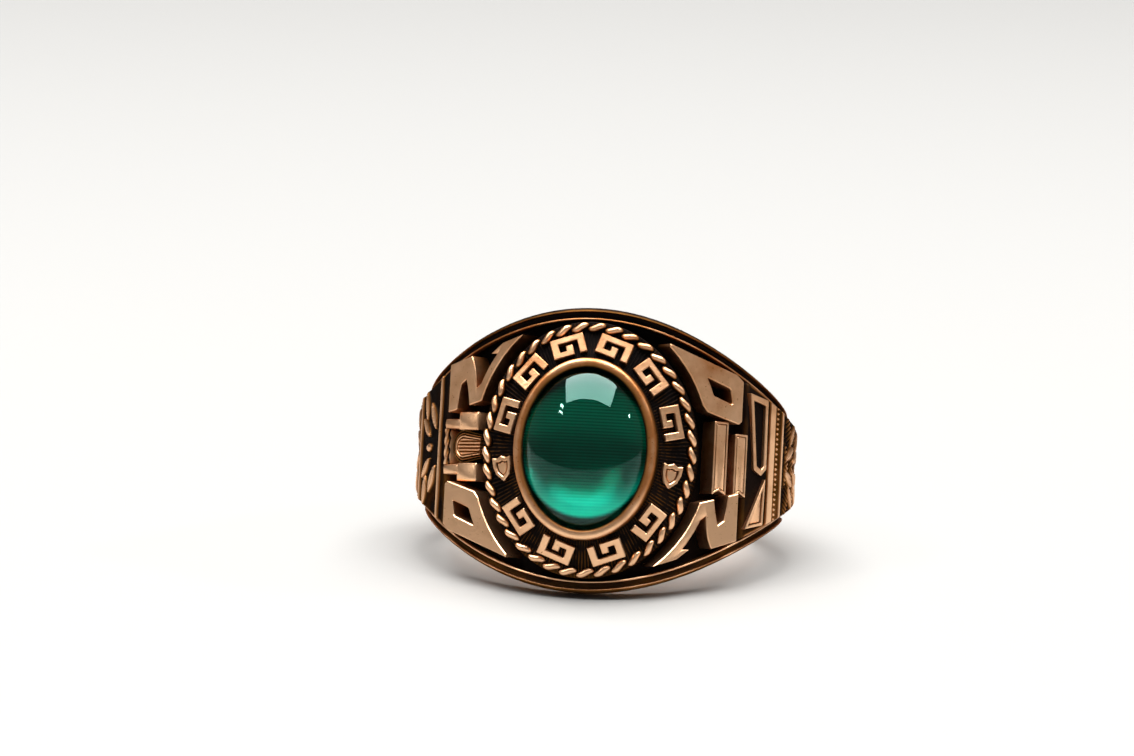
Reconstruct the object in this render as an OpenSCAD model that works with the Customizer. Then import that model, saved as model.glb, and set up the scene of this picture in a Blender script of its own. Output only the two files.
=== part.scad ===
/* [Finger and shank] */
// Bore for the finger
bore_d = 18.9; // [17:0.1:21]
// Width of the shank at the back
shank_w = 5.8; // [5:0.1:7]
// Wall of the shank at the back
shank_wall = 1.3; // [1.1:0.05:1.8]
// Wall of the borders at the middle of the head
head_wall = 1.85; // [1.6:0.05:2.2]
// How quickly the borders draw in from the head to the shank
taper = 7; // [6:0.5:8]
// Crown of the plain back, across its width
back_crown = 0.2; // [0.05:0.05:0.4]

/* [Borders] */
// Width of a border, from its outer side to the recess
border_w = 0.75; // [0.7:0.05:0.9]
// Width of the outer rim
rim_w = 0.26; // [0.24:0.01:0.3]
// Width of the thin inner wire
wire_w = 0.18; // [0.14:0.01:0.22]
// Depth of the groove between rim and wire
groove_d = 0.3; // [0.15:0.05:0.4]
// Depth of the recess inside the borders
recess_d = 0.7; // [0.4:0.05:0.8]
// Slant of each small wall in a border
draft = 0.04; // [0.02:0.01:0.06]
// Rounding of the outer edges
edge = 0.18; // [0.1:0.02:0.24]

/* [Stone] */
// Length of the oval stone, along the finger
stone_l = 9.84; // [9:0.1:11]
// Width of the oval stone
stone_w = 7.6; // [7:0.1:9]
// Height of the straight girdle
girdle_h = 0.35; // [0.2:0.05:0.5]
// Height of the dome over the girdle
dome_h = 2.9; // [2.6:0.1:3.4]
// Gap between the stone and its setting
stone_gap = 0.05; // [0.03:0.01:0.08]

/* [Crown] */
// Height of the stone's seat over the bore
seat_h = 2.25; // [1.9:0.05:2.6]
// How far the bezel's lip reaches over the stone
lip = 0.22; // [0.15:0.01:0.26]
// Width of the bezel's polished ring
bezel_w = 0.65; // [0.5:0.05:0.9]
// Height of the bezel over the band at its foot
bezel_h = 1.1; // [0.9:0.05:1.3]
// Rounding of the bezel's edges
bezel_round = 0.12; // [0.06:0.02:0.16]
// Width of the ornamented band at the sides
band_side_w = 1.4; // [1.2:0.05:1.7]
// Width of the ornamented band at the ends
band_end_w = 1.5; // [1.3:0.05:1.8]
// Width of the rope's shelf
rope_w = 0.65; // [0.5:0.05:0.8]
// Height of the rope's shelf over the bore, at the ends
shelf_h = 2.15; // [1.95:0.05:2.5]
// How much lower the shelf lies at the sides
sag = 1.3; // [1:0.1:1.5]
// Strands that show in the rope
strands = 41; // [33:1:45]
// Height of a strand over its shelf
strand_h = 0.36; // [0.3:0.02:0.46]
// Width of a strand
strand_w = 0.46; // [0.36:0.02:0.56]
// Length of a strand, as a share of the room that it has along the rope
strand_l = 1.16; // [1:0.02:1.2]
// Slant of a strand against the rope
strand_slant = 14; // [6:1:22]
// Height of the band's ornament
ornament_h = 0.4; // [0.25:0.05:0.5]
// Height of a key, across the band
key_h = 1.2; // [1:0.05:1.25]
// Width of a key, along the band
key_w = 2; // [1.5:0.05:2.1]
// Height of a shield, along the band
shield_h = 1.5; // [1.2:0.05:1.6]

/* [Shoulders] */
// Height of the numerals over the bore
numeral_h = 2.3; // [2.1:0.05:2.6]
// Length of the numerals, round the finger
numeral_l = 5.2; // [4.8:0.1:5.4]
// Gap between the numerals and what lies round them
numeral_gap = 0.36; // [0.3:0.02:0.5]
// Height of the ribbons and the torch over the bore
shoulder_h = 2.2; // [1.9:0.05:2.5]
// Half of the room across the shoulder between the numerals
middle_w = 2; // [1.7:0.1:2.2]
// Width of a ribbon
ribbon_w = 1; // [0.8:0.05:1.05]
// Length of the longer ribbon
ribbon_l = 4.3; // [3.8:0.1:4.4]
// Radius of the torch's fluted bowl
bowl_r = 0.97; // [0.85:0.02:1.03]

/* [Side panels] */
// Height of the side panels over the bore
panel_h = 1.8; // [1.65:0.05:2]
// Height of the raised figures on the side panels
figure_h = 0.2; // [0.15:0.05:0.3]
// Width of the stripes on the side panels
stripe_w = 0.3; // [0.2:0.05:0.4]
// Length of a laurel leaf
leaf_l = 1.9; // [1.6:0.1:2.1]
// Width of a laurel leaf
leaf_w = 0.95; // [0.6:0.05:1.1]
// Angle from the middle of the head at which the panels start
panel_from = 52; // [51.5:0.5:53]
// Angle from the middle of the head at which the panels end
panel_to = 108; // [100:1:115]

/* [Hidden] */

METAL = [0.78, 0.56, 0.38];
STONE = [0, 0.35, 0.22];

// Facets round the finger and round the ovals
hoop_steps = 72;
oval_steps = 56;
// How far one piece runs into the next, and past the surface that cuts it
sink = 0.3;

// Radii from the middle of the finger
bore_r = bore_d / 2;
numeral_r = bore_r + numeral_h;
shoulder_r = bore_r + shoulder_h;
panel_r = bore_r + panel_h;

// The ovals of the crown, as half width and half length
stone_oval = [stone_w, stone_l] / 2;
seat_oval = stone_oval + [1, 1] * stone_gap;
lip_oval = stone_oval - [1, 1] * lip;
bezel_oval = lip_oval + [1, 1] * bezel_w;
band_oval = bezel_oval + [band_side_w, band_end_w];
rope_oval = band_oval + [1, 1] * rope_w / 2;
crown_oval = band_oval + [1, 1] * rope_w;

// Heights over the middle of the finger, at the ends of the crown
seat_n = bore_r + seat_h;
shelf_n = bore_r + shelf_h;
girdle_n = seat_n + stone_gap + girdle_h;
lip_rise = dome_h * sqrt(1 - pow((lip_oval[0] - stone_gap) / stone_oval[0], 2));
bezel_n = girdle_n + lip_rise + bezel_round;
bezel_foot_n = bezel_n - bezel_h;

// The crown and the shoulders' relief stand half way down the wall under the recess
foot_r = bore_r + (head_wall - recess_d) / 2;
foot_n = sqrt(pow(foot_r, 2) - pow(crown_oval[0], 2));

// The head is as wide as the crown and the two borders beside it
crown_gap = 0.1;
head_w = 2 * (crown_oval[1] + crown_gap + border_w);

// How much of the head is left at an angle from its middle
function headness(a) = pow(abs(cos(a / 2)), taper);
function half_w(a) = (shank_w + (head_w - shank_w) * headness(a)) / 2;
function border_r(a) = bore_r + shank_wall + (head_wall - shank_wall) * headness(a);

// The recess and the grooves run out under and behind the far end of the side panels, in degrees
covered = 5;
run_out = 17;
function carved(a) =
    lookup(min(a, 360 - a), [[panel_to - covered, 1], [panel_to - covered + run_out, 0]]);
function mix(a, b, t) = a + (b - a) * t;

// One half of the hoop's section at an angle: [across the band, from the middle of the finger]
function half_section(a) =
    let (w = half_w(a), r = border_r(a), p = w - border_w, c = carved(a))
    let (floor_r = r - recess_d * c, groove_r = r - groove_d * c, crown = back_crown * (1 - c))
    [
        [p / 2, floor_r + crown * 3 / 4],
        [p, floor_r + crown / 4],
        [p + draft, r],
        [p + wire_w - draft, r],
        [p + wire_w, groove_r],
        [w - rim_w, groove_r],
        [w - rim_w + draft, r],
        [w - edge, r],
        [w, r - edge],
        [w, bore_r + edge],
        [w - edge - sink, bore_r - sink],
    ];

function hoop_section(a) =
    let (half = half_section(a), last = len(half) - 1)
    concat(
        [for (i = [last:-1:0]) [-half[i][0], half[i][1]]],
        [[0, border_r(a) - recess_d * carved(a) + back_crown * (1 - carved(a))]],
        half
    );

// A point at an angle round the finger, with the head towards -Y
function round_finger(a, p) = [p[1] * sin(a), -p[1] * cos(a), p[0]];

// Joins the points of two neighbouring sections or rings into quads
function quads(rows, cols, close_rows, close_cols) = [
    for (i = [0:rows - (close_rows ? 1 : 2)], j = [0:cols - (close_cols ? 1 : 2)])
        let (i2 = (i + 1) % rows, j2 = (j + 1) % cols)
        [i * cols + j, i * cols + j2, i2 * cols + j2, i2 * cols + j]
];

// Cuts each quad into two triangles
function triangles(faces) = [for (f = faces) each [[f[0], f[1], f[2]], [f[0], f[2], f[3]]]];

module hoop() {
    sections = [for (i = [0:hoop_steps - 1]) hoop_section(i * 360 / hoop_steps)];
    points = [
        for (i = [0:hoop_steps - 1], p = sections[i]) round_finger(i * 360 / hoop_steps, p)
    ];
    polyhedron(points, triangles(quads(hoop_steps, len(sections[0]), true, true)));
}

// A raised pad that fills the room between the borders, from one angle to another
module side_panel() {
    steps = 12;
    cols = 5;
    function section(a) =
        let (p = half_w(a) - border_w - draft, low = bore_r + sink, high = panel_r)
        [[-p, low], [-p, high - edge], [-p + edge, high], [p - edge, high], [p, high - edge], [p, low]];
    points = [
        for (i = [0:steps])
            let (a = mix(panel_from, panel_to, i / steps))
            each [for (p = section(a)) round_finger(a, p)]
    ];
    rows = steps + 1;
    polyhedron(
        points,
        concat(
            triangles(quads(rows, cols + 1, false, true)),
            [[for (j = [cols:-1:0]) j], [for (j = [0:cols]) (rows - 1) * (cols + 1) + j]]
        )
    );
}

// A point of an oval ring: half axes, height at the ends, drop at the sides, angle from +X
function oval_point(axes, n, drop, t) =
    [axes[0] * cos(t), -(n - drop * pow(cos(t), 2)), axes[1] * sin(t)];

// Solid of oval rings, each [axes, height at the ends, drop at the sides], closed by two flat ends
module oval_stack(rings) {
    rows = len(rings);
    points = [
        for (ring = rings, i = [0:oval_steps - 1])
            oval_point(ring[0], ring[1], ring[2], -i * 360 / oval_steps)
    ];
    polyhedron(
        points,
        concat(
            triangles(quads(rows, oval_steps, false, true)),
            [
                [for (i = [oval_steps - 1:-1:0]) i],
                [for (i = [0:oval_steps - 1]) (rows - 1) * oval_steps + i]
            ]
        )
    );
}

// The drop of the band between the rope's shelf and the bezel's foot
shelf_drop = sag;
band_drop = sag * 0.92;
bezel_drop = sag * 0.65;

module crown() {
    round_oval = [1, 1] * bezel_round;
    oval_stack([
        [crown_oval, foot_n, 0],
        [crown_oval, shelf_n, shelf_drop],
        [band_oval, shelf_n + draft, band_drop],
        [bezel_oval, bezel_foot_n, bezel_drop],
        [bezel_oval - round_oval / 2, bezel_n - bezel_round, 0],
        [bezel_oval - round_oval * 2, bezel_n, 0],
        [lip_oval + round_oval, bezel_n, 0],
        [lip_oval, bezel_n - bezel_round, 0],
        [seat_oval, girdle_n + stone_gap + sink, 0],
        [seat_oval, seat_n, 0],
    ]);
}

// Even steps along the oval of the rope, from even steps of angle
rope_bend = (pow(rope_oval[1], 2) - pow(rope_oval[0], 2)) /
    (pow(rope_oval[1], 2) + pow(rope_oval[0], 2)) / 4;
function even(t) = t - rope_bend * sin(2 * t) * 180 / PI;
rope_pitch = 2 * PI * sqrt((pow(rope_oval[0], 2) + pow(rope_oval[1], 2)) / 2) / strands;

// Direction of an oval's tangent, and the way out across it
function tangent(axes, t) = atan2(axes[1] * cos(t), -axes[0] * sin(t));

// Sets a shape on an oval of the crown: local X runs along it, local -Y outwards, local Z up
module on_oval(axes, n, drop, t, tilt) {
    p = oval_point(axes, n, drop, t);
    translate(p)
        rotate([90, 0, 0])
            rotate([0, 0, tangent(axes, t)])
                rotate([tilt, 0, 0])
                    children();
}

// A strand: a slim grain, pointed at both ends. Rows are [along, across, up] as shares
STRAND = [[-0.3, 0.74, 0.8], [0, 1, 1], [0.3, 0.74, 0.8]];
module strand() {
    sides = 6;
    long = rope_pitch * strand_l;
    points = concat(
        [[-long / 2, 0, 0]],
        [
            for (row = STRAND, j = [0:sides - 1])
                let (q = j * 360 / sides)
                [row[0] * long, -row[1] * strand_w / 2 * cos(q), row[2] * strand_h * sin(q)]
        ],
        [[long / 2, 0, 0]]
    );
    last = len(points) - 1;
    polyhedron(
        points,
        concat(
            [for (j = [0:sides - 1]) [0, 1 + (j + 1) % sides, 1 + j]],
            [for (f = triangles(quads(len(STRAND), sides, false, true))) f + [1, 1, 1]],
            [for (j = [0:sides - 1]) [last, last - sides + j, last - sides + (j + 1) % sides]]
        )
    );
}

module rope() {
    for (i = [0:strands - 1]) {
        t = even(i * 360 / strands);
        on_oval(rope_oval, shelf_n, shelf_drop, t, atan(sag / 2 * pow(cos(t), 2)))
            rotate([0, 0, strand_slant])
                strand();
    }
}

// A key of the fret, from bars given as [left, bottom, width, height], shares of its size
KEY = [
    [0, 0, 0.21, 1],
    [0, 0, 1, 0.28],
    [0.79, 0, 0.21, 1],
    [0.38, 0.72, 0.62, 0.28],
    [0.38, 0.46, 0.2, 0.54],
];
module key() {
    translate([-key_w / 2, -key_h / 2, -sink])
        linear_extrude(sink + ornament_h)
            for (bar = KEY)
                translate([bar[0] * key_w, bar[1] * key_h])
                    square([bar[2] * key_w, bar[3] * key_h]);
}

// Half of a small shield, as shares of its height
SHIELD = [[0, -0.5], [0.3, -0.22], [0.4, 0.1], [0.4, 0.45], [0.2, 0.4], [0, 0.5]];
module shield() {
    translate([0, 0, -sink])
        linear_extrude(sink + ornament_h)
            polygon(concat(
                [for (p = SHIELD) p * shield_h],
                [for (i = [len(SHIELD) - 2:-1:1]) [-SHIELD[i][0], SHIELD[i][1]] * shield_h]
            ));
}

// Angles round the band of the keys, and of the shields with their turn
KEYS = [17, 45.5, 74.5, 105.5, 134.5, 163, -41, -73, -107, -139];
SHIELDS = [[-12, -90], [-168, 90]];
middle_oval = (bezel_oval + band_oval) / 2;
middle_n = (bezel_foot_n + shelf_n) / 2;
middle_drop = (bezel_drop + band_drop) / 2;
function band_tilt(t) =
    atan(
        (bezel_foot_n - shelf_n + (band_drop - bezel_drop) * pow(cos(t), 2))
        / mix(band_end_w, band_side_w, pow(cos(t), 2))
    );

// The ornament lies flatter than the band, by this share of the band's slope
ornament_tilt = 0.7;
module on_band(t) {
    on_oval(middle_oval, middle_n, middle_drop, t, ornament_tilt * band_tilt(t))
        children();
}

module band_ornament() {
    for (t = KEYS)
        on_band(t)
            key();
    for (row = SHIELDS)
        on_band(row[0])
            rotate([0, 0, row[1]])
                shield();
}

// Puts a flat shape on the plane that touches a radius at an angle round the finger:
// local X runs away from the head, local Y along the finger, local Z outwards
module on_round(a, r) {
    rotate([90, 0, a])
        translate([0, 0, r])
            children();
}

// The plane of the numerals, and the corner cell that a numeral fills. Its foot is straight, its top
// follows the rope's oval, and points are [away from the head, from the middle line]
numeral_a = 34;
numeral_depth = numeral_r - foot_r;
foot_x = numeral_l / 2;
top_w = 1.35 * middle_w;
rope_gap = crown_oval + [1, 1] * 2 * numeral_gap;
function room(x) = half_w(numeral_a + atan(x / numeral_r)) - border_w - numeral_gap;
function beside_rope(y) =
    (rope_gap[0] * sqrt(1 - pow(y / rope_gap[1], 2)) - numeral_r * sin(numeral_a)) / cos(numeral_a);
function in_cell(p) =
    let (foot = [foot_x, mix(middle_w, room(foot_x), p[0])])
    let (y = mix(top_w, room(-foot_x), p[0]))
    mix(foot, [beside_rope(y), y], p[1]);

// An outline of the unit square set in the cell, each side in a few parts so that it can bend
side_parts = 3;
module numeral(outline) {
    count = len(outline);
    polygon([
        for (i = [0:count - 1], j = [0:side_parts - 1])
            in_cell(mix(outline[i], outline[(i + 1) % count], j / side_parts))
    ]);
}

// Outlines of the numerals in a unit square
ZERO_OUT = [[0.08, 0], [0.92, 0], [1, 0.08], [1, 0.92], [0.92, 1], [0.08, 1], [0, 0.92], [0, 0.08]];
ZERO_IN = [[0.34, 0.22], [0.64, 0.22], [0.64, 0.62], [0.34, 0.62]];
TWO = [
    [0, 0], [1, 0], [1, 0.26], [0.52, 0.26], [0.47, 0.35], [1, 0.63], [1, 1],
    [0, 1], [0, 0.72], [0.14, 0.65], [0.2, 0.79], [0.68, 0.79], [0.73, 0.7], [0, 0.3],
];

module numerals() {
    on_round(numeral_a, foot_r)
        linear_extrude(numeral_depth) {
            difference() {
                numeral(ZERO_OUT);
                numeral(ZERO_IN);
            }
            mirror([0, 1])
                numeral([for (p = TWO) [1 - p[0], p[1]]]);
        }
}

// A flat-topped figure on the shoulder, round a flat outline
module shoulder_figure(a) {
    on_round(a, foot_r)
        linear_extrude(shoulder_r - foot_r)
            children();
}

// Two ribbons across the right shoulder, each [angle, length, place along the finger], as shares of the
// longer one's length. The lower end of each is cut to a swallow's tail
RIBBONS = [[40.7, 1, 0], [48.4, 0.86, -0.08]];
module ribbons() {
    for (ribbon = RIBBONS) {
        half = [ribbon_w, ribbon_l * ribbon[1]] / 2;
        shoulder_figure(ribbon[0])
            translate([0, ribbon_l * ribbon[2]])
                polygon([
                    [-half[0], -half[1]],
                    [0, ribbon_w / 4 - half[1]],
                    [half[0], -half[1]],
                    [half[0], half[1]],
                    [-half[0], half[1]],
                ]);
    }
}

// The torch on the left shoulder: blocks as [angle, along the finger, width, length], shares of the bowl
TORCH = [
    [39.4, 1.55, 1.7, 1.1],
    [39.4, -1.55, 1.7, 1.1],
    [46.7, 1.38, 1.5, 0.6],
    [46.7, -1.38, 1.5, 0.6],
    [49.3, 0, 0.4, 2.1],
];
bowl_a = 41.4;
stem = [1.65, 0.7] * bowl_r;
module torch() {
    for (block = TORCH)
        shoulder_figure(block[0])
            translate([0, block[1] * bowl_r])
                square([block[2], block[3]] * bowl_r, center = true);
    shoulder_figure(bowl_a)
        polygon(concat(
            [[-stem[0], -stem[1]], [-stem[0], stem[1]]],
            [for (q = [90:-20:-90]) bowl_r * [cos(q), sin(q)]]
        ));
}

// A raised figure on a side panel, from a flat outline round [degrees past the panel's near end,
// place along the finger]
module figure(past, y, turn = 0) {
    on_round(panel_from + past, panel_r - sink)
        translate([0, y, 0])
            rotate([0, 0, turn])
                linear_extrude(sink + figure_h)
                    children();
}

// Room for figures on a side panel, from its middle line
function panel_room(a) = half_w(a) - border_w - 2 * edge;

// A stripe right across a side panel
module stripe(past, wide) {
    figure(past, 0)
        square([wide, 2 * panel_room(panel_from + past)], center = true);
}

module leaf() {
    polygon(concat(
        [for (i = [0:5]) [(i / 5 - 0.5) * leaf_l, leaf_w / 2 * sin(180 * i / 5)]],
        [for (i = [4:-1:1]) [(i / 5 - 0.5) * leaf_l, -leaf_w / 2 * sin(180 * i / 5)]]
    ));
}

// Leaves in mirrored pairs: [degrees past the near end, along the finger as a share of the panel's room,
// turn]
NEAR_LEAVES = [[8.5, 0.5, 62], [14.5, 0.36, 38], [14.8, 0.76, 80]];
FAR_LEAVES = [[28, 0.3, 25], [30, 0.72, 50], [37, 0.28, 25], [39, 0.68, 50], [46, 0.36, 30]];
module leaves(table) {
    for (row = table, side = [1, -1])
        figure(row[0], side * row[1] * panel_room(panel_from + row[0]), side * row[2])
            leaf();
}

// Outlines on the near end of the right panel, as shares of its half room from the middle line:
// a pointed frame with its opening above, and a pennant below
FRAME_OUT = [[-0.24, 1.01], [0.2, 0.93], [0.22, -0.1], [0.1, -0.2], [-0.08, -0.12]];
FRAME_IN = [[-0.16, 0.91], [0.14, 0.85], [0.15, -0.06], [0.09, -0.11], [-0.02, -0.06]];
PENNANT = [[0.21, -0.24], [0.19, -0.93], [-0.24, -1.01]];
near_figures = 5.2;
near_room = panel_room(panel_from + near_figures);

// Stripes of the panels: [degrees past the near end, width as a share of a stripe], and half the
// length and width of the bead
RIGHT_STRIPES = [[12.6, 2.2], [16, 0.8], [19.4, 1]];
LEFT_STRIPES = [[3.5, 0.8], [21, 1]];
bead_at = 11.5;
bead = [0.5, 0.28];

module right_figures() {
    figure(near_figures, 0) {
        difference() {
            polygon(FRAME_OUT * near_room);
            polygon(FRAME_IN * near_room);
        }
        polygon(PENNANT * near_room);
    }
    for (row = RIGHT_STRIPES)
        stripe(row[0], stripe_w * row[1]);
    leaves(FAR_LEAVES);
}

module left_figures() {
    for (row = LEFT_STRIPES)
        stripe(row[0], stripe_w * row[1]);
    leaves(concat(NEAR_LEAVES, FAR_LEAVES));
    figure(bead_at, 0)
        polygon([for (q = [0:15:345]) [bead[0] * cos(q), bead[1] * sin(q)]]);
}

// What both sides share: the other side is this one turned half round the head's own axis
module side() {
    side_panel();
    numerals();
}

module ring_casting() {
    color(METAL)
        leaning()
            difference() {
                union() {
                    hoop();
                    crown();
                    rope();
                    band_ornament();
                    side();
                    ribbons();
                    right_figures();
                    rotate([0, 180, 0]) {
                        side();
                        torch();
                        left_figures();
                    }
                }
                cylinder(h = 2 * head_w, r = bore_r, center = true, $fn = 96);
            }
}

module stone() {
    dome_steps = 7;
    color(STONE)
        leaning()
            oval_stack(concat(
                [
                    [stone_oval - [1, 1] * stone_gap, seat_n + stone_gap, 0],
                    [stone_oval, seat_n + 2 * stone_gap, 0],
                ],
                [
                    for (i = [0:dome_steps - 1])
                        let (q = 90 * i / dome_steps)
                        [stone_oval * cos(q), girdle_n + dome_h * sin(q), 0]
                ]
            ));
}

// The ring lies on its side, on the lower edge of the head and of the back: lean of the head, height of
// the finger's middle over the surface, and middle of the ring's depth
lean = atan((head_w - shank_w) / 2 / (bore_r + border_r(180)));
lie_h = head_w / 2 * cos(lean) - (bore_r + edge) * sin(lean);
front = girdle_n * cos(lean) + norm([dome_h * cos(lean), stone_oval[1] * sin(lean)]);
back = border_r(180) * cos(lean) + (shank_w / 2 - edge) * sin(lean);
module leaning() {
    translate([0, (front - back) / 2, lie_h])
        rotate([-lean, 0, 0])
            children();
}

ring_casting();
stone();
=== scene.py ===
"""Looks of the class ring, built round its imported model: the cast metal with its rope, fret, numerals and
side panels, the green stone, the floor, the light and the camera.

Shapes are worked out in millimetres in the ring's own frame: +X to the right of the face, -Y out of the
face, Z along the finger, with the finger's middle at the origin. to_row() leans the ring back, lifts it on
to its edge and turns it to metres. An angle round the finger is 0 at the middle of the face.

A part is its points, how polished each of them is, and its faces. Polish runs from 0, black in the bottom
of a recess, to 1, rubbed bright.
"""

import bmesh
import bpy
import numpy as np
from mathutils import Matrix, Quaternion, Vector


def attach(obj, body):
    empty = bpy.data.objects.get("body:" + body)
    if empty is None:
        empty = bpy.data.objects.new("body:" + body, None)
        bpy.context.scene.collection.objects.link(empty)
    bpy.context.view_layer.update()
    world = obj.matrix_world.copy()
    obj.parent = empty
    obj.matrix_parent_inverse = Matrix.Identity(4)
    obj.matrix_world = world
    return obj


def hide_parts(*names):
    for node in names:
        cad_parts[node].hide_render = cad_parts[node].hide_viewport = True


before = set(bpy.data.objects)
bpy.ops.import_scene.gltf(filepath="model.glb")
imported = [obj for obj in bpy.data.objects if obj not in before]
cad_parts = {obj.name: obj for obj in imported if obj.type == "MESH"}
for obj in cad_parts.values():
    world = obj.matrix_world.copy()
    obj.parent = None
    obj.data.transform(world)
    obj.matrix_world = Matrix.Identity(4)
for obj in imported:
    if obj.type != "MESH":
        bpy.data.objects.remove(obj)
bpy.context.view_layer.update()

MM = 0.001
TURN = 2 * np.pi

# The ring's sizes, in mm, as the solids have them
BORE_R = 18.9 / 2
SHANK_W, SHANK_WALL = 5.8, 1.3
HEAD_WALL = 1.85
TAPER = 7.0
BACK_CROWN = 0.2

BORDER_W, RIM_W, WIRE_W = 0.75, 0.26, 0.18
GROOVE_D, RECESS_D = 0.3, 0.7
DRAFT, EDGE = 0.04, 0.18

STONE_OVAL = np.array([7.6, 9.84]) / 2
GIRDLE_H, DOME_H, STONE_GAP = 0.35, 2.9, 0.05

SEAT_N = BORE_R + 2.25
SHELF_N = BORE_R + 2.15
SEAT_WALL = 0.3
SEAT_OVAL = STONE_OVAL + STONE_GAP
LIP_OVAL = STONE_OVAL - 0.22
BEZEL_OVAL = LIP_OVAL + 0.65
BAND_W = np.array([1.4, 1.5])
BAND_OVAL = BEZEL_OVAL + BAND_W
ROPE_W = 0.65
ROPE_OVAL = BAND_OVAL + ROPE_W / 2
CROWN_OVAL = BAND_OVAL + ROPE_W
SAG = 1.3
SHELF_DROP, BAND_DROP, BEZEL_DROP = SAG, SAG * 0.92, SAG * 0.65
GIRDLE_N = SEAT_N + STONE_GAP + GIRDLE_H
BEZEL_ROUND, BEZEL_H = 0.12, 1.1
LIP_RISE = DOME_H * np.sqrt(1 - ((LIP_OVAL[0] - STONE_GAP) / STONE_OVAL[0]) ** 2)
BEZEL_N = GIRDLE_N + LIP_RISE + BEZEL_ROUND
BEZEL_FOOT_N = BEZEL_N - BEZEL_H
FOOT_R = BORE_R + (HEAD_WALL - RECESS_D) / 2
HEAD_W = 2 * (CROWN_OVAL[1] + 0.1 + BORDER_W)

STRANDS, STRAND_H, STRAND_SLANT = 41, 0.36, np.radians(14)
STRAND_W, STRAND_LAP, STRAND_SWING = 0.46, 1.16, 0.05
ORNAMENT_H, ORNAMENT_ROOT, ORNAMENT_TILT = 0.4, 0.3, 0.7
KEY_W, KEY_H, SHIELD_H = 2.0, 1.2, 1.5

NUMERAL_R, NUMERAL_L, NUMERAL_GAP = BORE_R + 2.3, 5.2, 0.36
NUMERAL_A = np.radians(34)
SHOULDER_R, MIDDLE_W, ROPE_SIDE_W = BORE_R + 2.2, 2.0, 2.7
RIBBON_W, RIBBON_L, BOWL_R = 1.0, 4.3, 0.97
RELIEF_DEPTH = SHOULDER_R - FOOT_R

PANEL_R = BORE_R + 1.8
PANEL_LOW_R = BORE_R + 0.3
FIGURE_H, STRIPE_W, LEAF_L, LEAF_W = 0.2, 0.3, 1.9, 0.95
PANEL_FROM, PANEL_TO = np.radians([52, 108])
CARVED_TO, PLAIN_FROM = PANEL_TO - np.radians(5), PANEL_TO + np.radians(12)


def mix(a, b, t):
    """A straight run from the first value to the second."""
    return a + (b - a) * t


def smooth(low, high, value):
    """0 below the low value, 1 above the high one, and an S-curve between them."""
    t = np.clip((value - low) / (high - low), 0, 1)
    return t * t * (3 - 2 * t)


def headness(a):
    """How much of the head is left at an angle: a power of the cosine of half the angle."""
    return np.abs(np.cos(a / 2)) ** TAPER


def half_w(a):
    """Half the hoop's width at an angle: the shank's and the head's, mixed by how much head is left."""
    return mix(SHANK_W, HEAD_W, headness(a)) / 2


def border_r(a):
    """Radius of the hoop's borders at an angle: the bore and the wall, which is mixed in the same way."""
    return BORE_R + mix(SHANK_WALL, HEAD_WALL, headness(a))


def carved(a):
    """1 where the recess and grooves are cut, 0 at the plain back, and a straight run between them."""
    side = np.abs((a + np.pi) % TURN - np.pi)
    return np.interp(side, [CARVED_TO, PLAIN_FROM], [1, 0])


# Where the ring lies: on the lower edge of the head and of the back
LEAN = np.arctan((HEAD_W - SHANK_W) / 2 / (BORE_R + border_r(np.pi)))
LIE_H = HEAD_W / 2 * np.cos(LEAN) - (BORE_R + EDGE) * np.sin(LEAN)
FRONT = GIRDLE_N * np.cos(LEAN) + np.hypot(DOME_H * np.cos(LEAN), STONE_OVAL[1] * np.sin(LEAN))
BACK = border_r(np.pi) * np.cos(LEAN) + (SHANK_W / 2 - EDGE) * np.sin(LEAN)
MIDDLE = np.array([0, (FRONT - BACK) / 2, LIE_H])


def to_row(points):
    """Turns about X by the lean, moves to where the ring lies, and gives metres."""
    x, y, z = np.moveaxis(np.asarray(points, float), -1, 0)
    c, s = np.cos(LEAN), np.sin(LEAN)
    return (np.stack([x, y * c + z * s, z * c - y * s], -1) + MIDDLE) * MM


def round_finger(a, r, w):
    """A point at an angle round the finger, a radius from its middle, and a place along it."""
    return np.stack(np.broadcast_arrays(r * np.sin(a), -r * np.cos(a), w), -1)


def on_round(a, r, part):
    """A flat part (x away from the head, y along the finger, z outwards) set on the plane that touches a
    radius at an angle round the finger."""
    points, polish, faces = part
    x, y, z = np.moveaxis(points, -1, 0)
    z = z + r
    return np.stack([x * np.cos(a) + z * np.sin(a), x * np.sin(a) - z * np.cos(a), y], -1), polish, faces


def oval_point(axes, n, drop, t):
    """A point of an oval ring round the face's middle, lower at its sides by the drop."""
    across, along = axes[0] * np.cos(t), axes[1] * np.sin(t)
    return np.stack(np.broadcast_arrays(across, drop * np.cos(t) ** 2 - n, along), -1)


def on_oval(axes, n, drop, t, tilt, part):
    """A flat part (x along the oval, y inwards, z up) set on an oval of the crown, tilted about x."""
    points, polish, faces = part
    x, y, z = np.moveaxis(points, -1, 0)
    y, z = y * np.cos(tilt) - z * np.sin(tilt), y * np.sin(tilt) + z * np.cos(tilt)
    turn = np.arctan2(axes[1] * np.cos(t), -axes[0] * np.sin(t))
    x, y = x * np.cos(turn) - y * np.sin(turn), x * np.sin(turn) + y * np.cos(turn)
    return oval_point(axes, n, drop, t) + np.stack([x, -z, y], -1), polish, faces


def other_side(part):
    """Turned half round the face's own axis, as the left flank is to the right one."""
    points, polish, faces = part
    return points * [-1, 1, -1], polish, faces


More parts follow.
